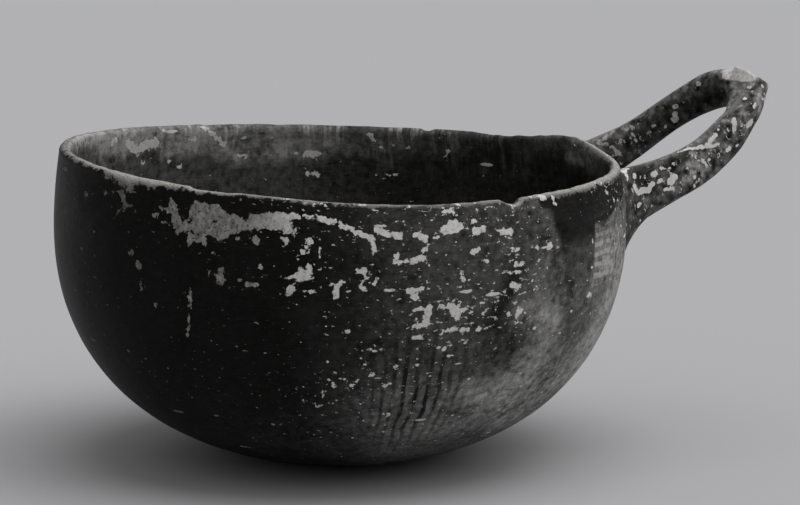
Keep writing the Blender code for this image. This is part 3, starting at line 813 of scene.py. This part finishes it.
def inner_face(position):
    """Point, width and thickness of the strap at a position along the stations, on a smooth curve."""
    first = min(int(position), LAST_STATION - 1)
    along = position - first
    rows = [HANDLE_STATIONS[min(max(first + step, 0), LAST_STATION)] for step in (-1, 0, 1, 2)]
    reach, spread_out, rise, width, thickness = (
        b + 0.5 * along * (c - a + along * (2 * a - 5 * b + 4 * c - d + along * (3 * (b - c) + d - a)))
        for a, b, c, d in zip(*rows)
    )
    root_x = math.sqrt(outer_radius(ROOT_HEIGHT) ** 2 - ROOT_HALF_SPREAD**2) - ROOT_SINK
    point = Vector((
        root_x + HANDLE_REACH * reach,
        ROOT_HALF_SPREAD * spread_out,
        ROOT_HEIGHT + HANDLE_RISE * rise,
    ))
    return point, STRAP_WIDTH * width, STRAP_THICKNESS * thickness


def strap_section(position):
    """Centre, axes and size of the strap at a position; beyond either end it runs straight on."""
    held = min(max(position, 0.0), LAST_STATION)
    point, width, thickness = inner_face(held)
    before = inner_face(max(held - 0.02, 0.0))[0]
    after = inner_face(min(held + 0.02, LAST_STATION))[0]
    tangent = (after - before).normalized()
    upright = (UP - tangent * tangent.dot(UP)).normalized()
    outward = tangent.cross(upright)
    beyond = (position - held) * STATION_LENGTH
    return point + outward * (thickness / 2) + tangent * beyond, upright, outward, width, thickness


STATION_LENGTH = (inner_face(1)[0] - inner_face(0)[0]).length


def strap_face(position, angle, grow=0.0):
    """A point on the strap: angle 0 is the upper edge, 90 the outer face, 180 the underside."""
    centre, upright, outward, width, thickness = strap_section(position)
    around = math.radians(angle)
    rise = math.copysign(abs(math.cos(around)) ** STRAP_CORNER_POWER, math.cos(around))
    out = math.copysign(abs(math.sin(around)) ** STRAP_CORNER_POWER, math.sin(around))
    return centre + upright * (rise * (width / 2 + grow)) + outward * (out * (thickness / 2 + grow))


def held_in_wall(point):
    """Keeps the buried end of the strap from coming through the wall."""
    turn = math.degrees(math.atan2(point.y, point.x))
    deepest = wall_place(turn, point.z, 0.0030)
    return deepest if point.xy.length < deepest.xy.length else point


def add_loop(bm, points):
    """A closed loop of edges through these points."""
    ring = bmesh.ops.create_circle(bm, segments=len(points), radius=1.0)["verts"]
    for vert, point in zip(ring, points):
        vert.co = point
    return list(dict.fromkeys(edge for vert in ring for edge in vert.link_edges))


bm = bmesh.new()
loops = []
angles = [360 * side / STRAP_SIDES for side in range(STRAP_SIDES)]
for step in range(-2, STEPS_PER_STATION * LAST_STATION + 3):
    station = step / STEPS_PER_STATION
    loops.append(add_loop(bm, [held_in_wall(strap_face(station, angle)) for angle in angles]))
for lower, upper in zip(loops, loops[1:]):
    bmesh.ops.bridge_loops(bm, edges=lower + upper)
for end in (loops[0], loops[-1]):
    bmesh.ops.contextual_create(bm, geom=end)
crown = strap_section(LAST_STATION / 2)[0]
length = SPUR_BREAK_HEIGHT + SPUR_RADIUS
stub = bmesh.ops.create_cone(
    bm,
    cap_ends=True,
    segments=STRAP_SIDES,
    radius1=SPUR_RADIUS,
    radius2=SPUR_TIP_RADIUS,
    depth=length,
    matrix=Matrix.Translation((0.0, 0.0, length / 2)),
)["verts"]
lean = Matrix.Translation(crown) @ Matrix.Rotation(math.radians(SPUR_LEAN), 4, "Y")
bmesh.ops.transform(bm, matrix=lean, verts=stub)
slope = Matrix.Rotation(math.radians(SPUR_BREAK_SLOPE), 4, "Y") @ UP
stub_edges = dict.fromkeys(edge for vert in stub for edge in vert.link_edges)
stub_faces = dict.fromkeys(face for vert in stub for face in vert.link_faces)
cut = bmesh.ops.bisect_plane(
    bm,
    geom=[*stub, *stub_edges, *stub_faces],
    plane_co=crown + UP * SPUR_BREAK_HEIGHT,
    plane_no=slope,
    clear_outer=True,
)
rim = [item for item in cut["geom_cut"] if isinstance(item, bmesh.types.BMEdge)]
bmesh.ops.contextual_create(bm, geom=rim)
bmesh.ops.bevel(bm, geom=rim, offset=0.0009, segments=3, profile=0.5, affect="EDGES", material=-1)
bmesh.ops.recalc_face_normals(bm, faces=bm.faces)
rough_strap = placed_piece(bm, "rough_strap")
remesh = rough_strap.modifiers.new("one skin", "REMESH")
remesh.mode = "VOXEL"
remesh.voxel_size = 0.00042
eased = rough_strap.modifiers.new("eased", "SMOOTH")
eased.factor = 0.5
eased.iterations = 14
depsgraph = bpy.context.evaluated_depsgraph_get()
mesh = bpy.data.meshes.new_from_object(rough_strap.evaluated_get(depsgraph))
mesh.name = "wishbone_strap"
bpy.data.objects.remove(rough_strap)

break_point = crown + UP * SPUR_BREAK_HEIGHT
bm = bmesh.new()
bm.from_mesh(mesh)
bm.normal_update()
for vert in bm.verts:
    dent = 0.00016 + 0.00016 * noise.noise(vert.co * 70.0) + 0.00008 * noise.noise(vert.co * 260.0)
    scar = math.exp(-(((vert.co - break_point).length / 0.0068) ** 4))
    scar *= max(vert.normal.dot(slope), 0.0) ** 2
    low_side = min(max((vert.co.x - break_point.x) / 0.006 + 0.4, 0.0), 1.0)
    gouge = 0.0005 * low_side + 0.0006 * noise.noise(vert.co * 330.0)
    gouge += 0.0004 * noise.noise(vert.co * 900.0)
    swell = 0.0009 * math.exp(-(((vert.co - CROWN_SWELL).length / 0.0045) ** 2))
    crumbled = math.exp(-(((vert.co - break_point).length / 0.0080) ** 6))
    crumbled *= vert.co.z > break_point.z - 0.004
    gouge = scar * gouge + crumbled * max(0.0004 * noise.noise(vert.co * 420.0), 0.0)
    vert.co -= vert.normal * (dent + gouge - swell)
bm.to_mesh(mesh)
bm.free()
mesh.shade_smooth()
wishbone_strap = bpy.data.objects.new("wishbone_strap", mesh)
bpy.context.collection.objects.link(wishbone_strap)

# Lime on the strap, by station and angle round the strap where each patch starts and ends, and width in
# millimetres
STRAP_LIME = (
    (0.25, 22, 0.20, 48, 2.9), (0.20, 48, 0.21, 60, 3), (0.34, 0, 0.45, 60, 1.4),
    (0.36, 80, 0.42, 89, 1.8), (0.42, 88, 0.64, 90, 1.9), (0.64, 90, 0.71, 86, 1.6),
    (0.79, 70, 0.81, 70, 2.1), (0.84, 85, 0.88, 85, 1.7), (1.06, 90, 1.14, 89, 2.7),
    (0.90, 96, 1.05, 99, 1), (0.95, 60, 1.10, 70, 0.8), (0.34, 101, 0.38, 100, 1.5),
    (0.25, 145, 0.27, 145, 1.5), (1.45, 10, 1.65, 16, 1), (1.65, 16, 1.85, 44, 1),
    (1.85, 44, 2.02, 56, 1.4), (2.02, 56, 2.22, 74, 1.4), (2.24, 56, 2.40, 50, 1.7),
    (2.22, 74, 2.36, 80, 1.3), (2.48, 95, 2.52, 96, 1.7), (2.70, 105, 2.72, 105, 1.3),
    (2.95, 47, 2.81, 78, 1.8), (3.14, 90, 3.18, 90, 2.8), (2.60, 20, 2.62, 20, 1),
    (2.54, 35, 2.56, 35, 1), (3.40, 50, 3.43, 50, 1.2), (3.55, 0, 3.57, 0, 1.1),
    (3.64, 75, 3.66, 75, 1.2), (3.85, 0, 3.87, 0, 1.4), (3.90, 25, 3.94, 25, 2),
    (1.55, 100, 1.57, 100, 1.2), (1.64, 115, 1.66, 115, 1.1), (1.85, 85, 1.90, 94, 1.2),
    (2.00, 90, 2.02, 90, 1), (5.24, -65, 5.27, -65, 1.6), (5.90, -86, 5.92, -86, 1.3),
    (6.00, -92, 6.02, -92, 1.3), (6.05, -104, 6.08, -104, 2.2), (6.30, -105, 6.32, -105, 1),
    (6.44, -90, 6.46, -90, 1.4), (6.84, -55, 6.88, -56, 0.9), (6.85, -82, 6.86, -92, 1),
    (6.75, -65, 6.77, -65, 0.9), (6.90, -116, 6.92, -126, 1), (7.08, -78, 7.12, -82, 1),
    (7.27, -82, 7.22, -96, 1), (7.30, -42, 7.34, -42, 1.4), (7.46, -50, 7.30, -70, 1),
)


def on_strap(rows):
    """Strokes between two places on the strap."""
    strokes = []
    for position, angle, end_position, end_angle, width in rows:
        start = strap_face(position, angle)
        strokes.append((start, strap_face(end_position, end_angle), width / 1000))
    return strokes


def strap_places(spots):
    """Position along the stations and angle round the strap of every point near it."""
    positions = [step / 40 for step in range(-20, 40 * LAST_STATION + 21)]
    sections = [strap_section(position) for position in positions]
    centres = np.array([section[0] for section in sections])
    tree = kdtree.KDTree(len(centres))
    for index, centre in enumerate(centres):
        tree.insert(centre, index)
    tree.balance()
    nearest = np.array([tree.find(spot)[1] for spot in spots])
    away = spots - centres[nearest]
    up = (away * np.array([section[1] for section in sections])[nearest]).sum(1)
    out = (away * np.array([section[2] for section in sections])[nearest]).sum(1)
    sizes = np.array([(section[3], section[4]) for section in sections])[nearest]
    return np.array(positions)[nearest], np.degrees(np.arctan2(out / sizes[:, 1], up / sizes[:, 0]))


# Worn grey on the strap by station
STRAP_GREY = ((0, 0.20), (1, 0.25), (3, 0.28), (4.2, 0.28), (4.6, 0.25), (5.2, 0.23), (7, 0.22), (8, 0.27))


def strap_fields(mesh):
    """Stores the strap's wear, with painted shade on the loop's inner face and painted light along its top,
    worn edges, lime and specks on a piece of it.
    """
    spots = places(mesh)
    position, angle = strap_places(spots)
    tone = between(position, STRAP_GREY)
    # Painted shade on the inner face of the loop, deepest on the far arm past the crown
    inner_painted_shade = np.interp(position, [0, 3.6, 4.7, 6.2, 7.2, 8], [0.2, 0.3, 0.85, 0.70, 0.3, 0.3])
    inner_painted_shade *= np.exp(-(((angle + 105) / 38) ** 2))
    # The upper edge lighter: worn slip and painted light where the light falls on the top
    top_wear_and_light = np.exp(-(((angle + 15) / 42) ** 2)) * 0.24
    ground = tone * (1 - 0.85 * inner_painted_shade) + top_wear_and_light
    for station, around, length, tall, strength in (
        (1.75, 92, 0.45, 34, 0.40),
        (3.3, 70, 0.7, 45, 0.14),
        (0.75, 128, 0.6, 26, 0.05),
        (1.30, 50, 0.30, 26, -0.20),
        (0.55, 42, 0.3, 26, -0.12),
        (2.7, 118, 0.3, 20, -0.16),
        (2.1, 95, 0.2, 30, -0.20),
    ):
        cloud = ((position - station) / length) ** 2 + ((angle - around) / tall) ** 2
        ground += strength * np.exp(-cloud)
    ground *= 1 + 1.1 * np.array([noise.turbulence(Vector(spot) * 420.0, 3, False) for spot in spots])
    aside = (spots - np.array(break_point)) * 1000
    near_break = np.exp(-((np.linalg.norm(aside, axis=1) / 9.0) ** 6))
    scar = near_break * np.clip(aside[:, 2] / 0.8 + 5.0, 0.0, 1.0)
    scar *= np.clip((3.4 - aside[:, 0]) / 0.8, 0.0, 1.0)
    lump = np.clip(aside[:, 2] / 0.8 - 0.1, 0.0, 1.0) * np.clip(-aside[:, 0] - 3.3, 0.0, 1.0)
    bared = near_break * np.clip(aside[:, 0] / 1.5 + 5.2, 0.0, 1.0)
    bared *= np.clip((1.7 - aside[:, 0]) / 1.2 + 0.5, 0.0, 1.0)
    bared *= np.clip(aside[:, 2] / 0.7 + 5.1, 0.0, 1.0) * (1 - lump)
    store(mesh, "ground", ground + 0.2 * scar)
    upper = np.exp(-(((angle + 14) / 30) ** 2))
    upper *= np.interp(position, [-1, 0, 1, 3, 4, 5, 7, 8], [1, 1, 1, 0.95, 0.8, 0.9, 0.95, 1])
    under = np.exp(-(((angle - 150) / 16) ** 2)) * 0.75
    store(mesh, "edge", np.maximum(np.maximum(upper, under) * 0.74, scar))
    store(mesh, "lime", np.maximum(dabbed(spots, on_strap(STRAP_LIME), 0.0018), bared))
    outer = np.exp(-(((angle - 75) / 55) ** 2)) * (position < 4.2)
    far_inner = np.exp(-(((angle + 90) / 60) ** 2))
    far_inner *= np.interp(position, [5.0, 6.0, 7.0, 8.0], [0.0, 0.2, 0.6, 0.7])
    store(mesh, "specks", 0.16 + 0.60 * outer + far_inner)
    whiteness = np.interp(position, [4.4, 5.0, 8.0], [1.0, 0.5, 0.6])
    store(mesh, "whiteness", whiteness * (1 - 0.22 * near_break))
    around = np.radians(angle) * STRAP_WRAP_RADIUS
    wrapped(mesh, around, 2 * math.pi * STRAP_WRAP_RADIUS, position * STATION_LENGTH)


strap_fields(mesh)
mesh.materials.clear()
STRAP_SLIP = clay_finish("strap_slip")
mesh.materials.append(STRAP_SLIP)
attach(wishbone_strap, "root")
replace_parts(wishbone_strap, "handle_strap")


# The lutings: soft clay smeared round each root with the thumb, to bind strap and wall. Each runs out thin
# both ways, more below than above, where the near one is carried up to the lip.
LUTING_SIDES = 72
LUTING_ROWS = 14

# How deep its two thin edges lie in the strap and the wall, and how deep its back lies in them
STRAP_EDGE_SINK = 0.00035
WALL_EDGE_SINK = 0.0006
STRAP_BACK_SINK = 0.0014
WALL_BACK_SINK = 0.0020


def strap_foot(side, angle):
    """How far along the strap, in stations, this line of it comes out of the wall."""
    low, high = -0.4, 1.2
    for _ in range(24):
        middle = (low + high) / 2
        point = strap_face(middle if side == "near" else LAST_STATION - middle, angle)
        turn = math.degrees(math.atan2(point.y, point.x))
        free = math.hypot(point.x, point.y) > outer_radius(min(lowered(point.z, turn), LIP_START))
        low, high = (low, middle) if free else (middle, high)
    return high


def to_wall(point, depth):
    """Moves a point in or out onto the wall's face, or this deep behind it."""
    turn = math.degrees(math.atan2(point.y, point.x))
    return wall_place(turn, min(point.z, LIP_START + rim_lift(turn)), depth)


def make_luting(name, side, above, below, run):
    """A fillet from the strap to the wall: its reach above and below, and its run along the strap."""
    rows = [[] for _ in range(LUTING_ROWS + 3)]
    for step in range(LUTING_SIDES):
        angle = 360 * step / LUTING_SIDES
        foot = strap_foot(side, angle)
        under = (1 - math.cos(math.radians(angle))) / 2
        reach = above + (below - above) * under**1.5
        span = run * (0.45 + 0.55 * under) / STATION_LENGTH

        def station(position):
            return position if side == "near" else LAST_STATION - position

        corner = strap_face(station(foot), angle)
        _, upright, outward, _, _ = strap_section(station(foot))
        away = upright * math.cos(math.radians(angle)) + outward * math.sin(math.radians(angle))
        start = strap_face(station(foot + span), angle, -STRAP_EDGE_SINK)
        end = to_wall(corner + away * reach, WALL_EDGE_SINK)
        rows[0].append(strap_face(station(foot + span * 0.8), angle, -STRAP_BACK_SINK))
        for row in range(LUTING_ROWS + 1):
            share = row / LUTING_ROWS
            bend = corner.lerp((start + end) / 2, 0.30 * under)
            point = start * (1 - share) ** 2 + bend * (2 * share * (1 - share)) + end * share**2
            rows[row + 1].append(point)
        rows[-1].append(to_wall(corner + away * (reach * 0.7), WALL_BACK_SINK))
    bm = bmesh.new()
    loops = [add_loop(bm, points) for points in rows]
    for lower, upper in zip(loops, loops[1:] + loops[:1]):
        bmesh.ops.bridge_loops(bm, edges=lower + upper)
    bmesh.ops.recalc_face_normals(bm, faces=bm.faces)
    bmesh.ops.subdivide_edges(bm, edges=bm.edges, cuts=1, use_grid_fill=True, smooth=0.6)
    bm.normal_update()
    for vert in bm.verts:
        vert.co -= vert.normal * (0.00010 + 0.00012 * noise.noise(vert.co * 90.0))
    piece = placed_piece(bm, name)
    strap_fields(piece.data)
    piece.data.materials.append(STRAP_SLIP)
    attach(piece, "root")
    return piece


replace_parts(make_luting("near_luting", "near", 0.0056, 0.0105, 0.0105), "near_root_luting")
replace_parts(make_luting("far_luting", "far", 0.0018, 0.0075, 0.0085), "far_root_luting")


# The dabs: a pat of clay pressed over the end of each tang inside the bowl and smoothed down with wet
# fingers, so that the slipped wall only swells there.
DAB_HALF_WIDTH = 0.0088
DAB_HALF_HEIGHT = 0.0068
DAB_SWELL = 0.0021
DAB_EDGE_SINK = 0.0004
DAB_THICKNESS = 0.0012


def make_dab(name, side, node):
    """A low oval swelling on the inner wall over one tang."""
    centre, _, _, _, _ = strap_section(0 if side == "near" else LAST_STATION)
    middle = math.degrees(math.atan2(centre.y, centre.x))
    bm = bmesh.new()
    bmesh.ops.create_grid(bm, x_segments=44, y_segments=40, size=1.0)
    for vert in bm.verts:
        across = vert.co.x * math.sqrt(1 - vert.co.y**2 / 2)
        up = vert.co.y * math.sqrt(1 - vert.co.x**2 / 2)
        away = min(math.hypot(across, up), 1.0)
        swell = DAB_SWELL * (1 - away**2) ** 1.6 - DAB_EDGE_SINK
        swell += 0.00012 * noise.noise(Vector((across * 3, up * 3, middle)))
        turn = middle + math.degrees(across * DAB_HALF_WIDTH / BELLY_RADIUS)
        vert.co = wall_place(turn, centre.z + up * DAB_HALF_HEIGHT, WALL + swell)
    bm.normal_update()
    bmesh.ops.solidify(bm, geom=bm.faces, thickness=-DAB_THICKNESS)
    bmesh.ops.recalc_face_normals(bm, faces=bm.faces)
    piece = placed_piece(bm, name)
    mesh = piece.data
    spots = places(mesh)
    turns, below_lip, drift = wall_fields(spots)
    store(mesh, "ground", inner_wear_and_light(spots, turns, below_lip, drift))
    for field, amount in (("edge", 0.0), ("lime", 0.0), ("specks", 0.06), ("whiteness", 0.4)):
        store(mesh, field, np.full(len(spots), amount))
    wrapped(mesh, np.radians(turns) * BELLY_RADIUS, FULL_ROUND, INSIDE_WRAP - spots[:, 2])
    mesh.materials.append(STRAP_SLIP)
    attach(piece, "root")
    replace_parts(piece, node)


make_dab("near_dab", "near", "near_tang_dab")
make_dab("far_dab", "far", "far_tang_dab")


# The stage: pale paper under and behind the bowl, a broad soft light high above it, and a weaker one
# from a window low on the right.
bm = bmesh.new()
bmesh.ops.create_grid(bm, x_segments=2, y_segments=2, size=4.0)
floor = placed_piece(bm, "paper_floor")
paper = bpy.data.materials.new("pale_paper")
paper.use_nodes = True
shader = paper.node_tree.nodes["Principled BSDF"]
shader.inputs["Base Color"].default_value = (0.487, 0.487, 0.499, 1.0)
shader.inputs["Roughness"].default_value = 0.9
shader.inputs["Specular IOR Level"].default_value = 0.0
floor.data.materials.append(paper)

world = bpy.data.worlds.new("studio")
bpy.context.scene.world = world
world.use_nodes = True
sky = world.node_tree.nodes["Background"]
toward = world.node_tree.nodes.new("ShaderNodeTexCoord")
height = world.node_tree.nodes.new("ShaderNodeSeparateXYZ")
join(world.node_tree, toward.outputs["Generated"], height.inputs[0])
overhead = spread(world.node_tree, height.outputs["Z"], -0.1, 1.0)
glow = blended(world.node_tree, overhead, (0.16, 0.16, 0.162, 1.0), (0.52, 0.52, 0.52, 1.0))
join(world.node_tree, glow, sky.inputs["Color"])
sky.inputs["Strength"].default_value = 1.0

VIEW_TURN = math.radians(13.0)
VIEW_RISE = math.radians(9.4)
VIEW_DISTANCE = 1.100


def add_light(name, azimuth, elevation, strength, softness):
    """A broad far light: azimuth in degrees to the right of the camera, elevation above the floor."""
    lamp = bpy.data.lights.new(name, "SUN")
    lamp.energy = strength
    lamp.angle = math.radians(softness)
    around = math.radians(azimuth) - math.pi / 2 - VIEW_TURN
    up = math.radians(elevation)
    toward = Vector((math.cos(around) * math.cos(up), math.sin(around) * math.cos(up), math.sin(up)))
    light = bpy.data.objects.new(name, lamp)
    light.rotation_euler = toward.to_track_quat("Z", "Y").to_euler()
    bpy.context.collection.objects.link(light)


add_light("window", 84.0, 44.0, 0.62, 60.0)
add_light("overhead", 80.0, 78.0, 1.10, 52.0)

eye = bpy.data.cameras.new("camera")
eye.lens = 157.2
eye.sensor_width = 36.0
camera = bpy.data.objects.new("camera", eye)
aim = Vector((0.01825, -0.00421, 0.06413))
away = Vector((-math.sin(VIEW_TURN), -math.cos(VIEW_TURN), 0.0)) * math.cos(VIEW_RISE)
away.z = math.sin(VIEW_RISE)
camera.location = aim + away * VIEW_DISTANCE
camera.rotation_euler = away.to_track_quat("Z", "Y").to_euler()
bpy.context.collection.objects.link(camera)
bpy.context.scene.camera = camera
bpy.context.scene.view_settings.view_transform = "Standard"
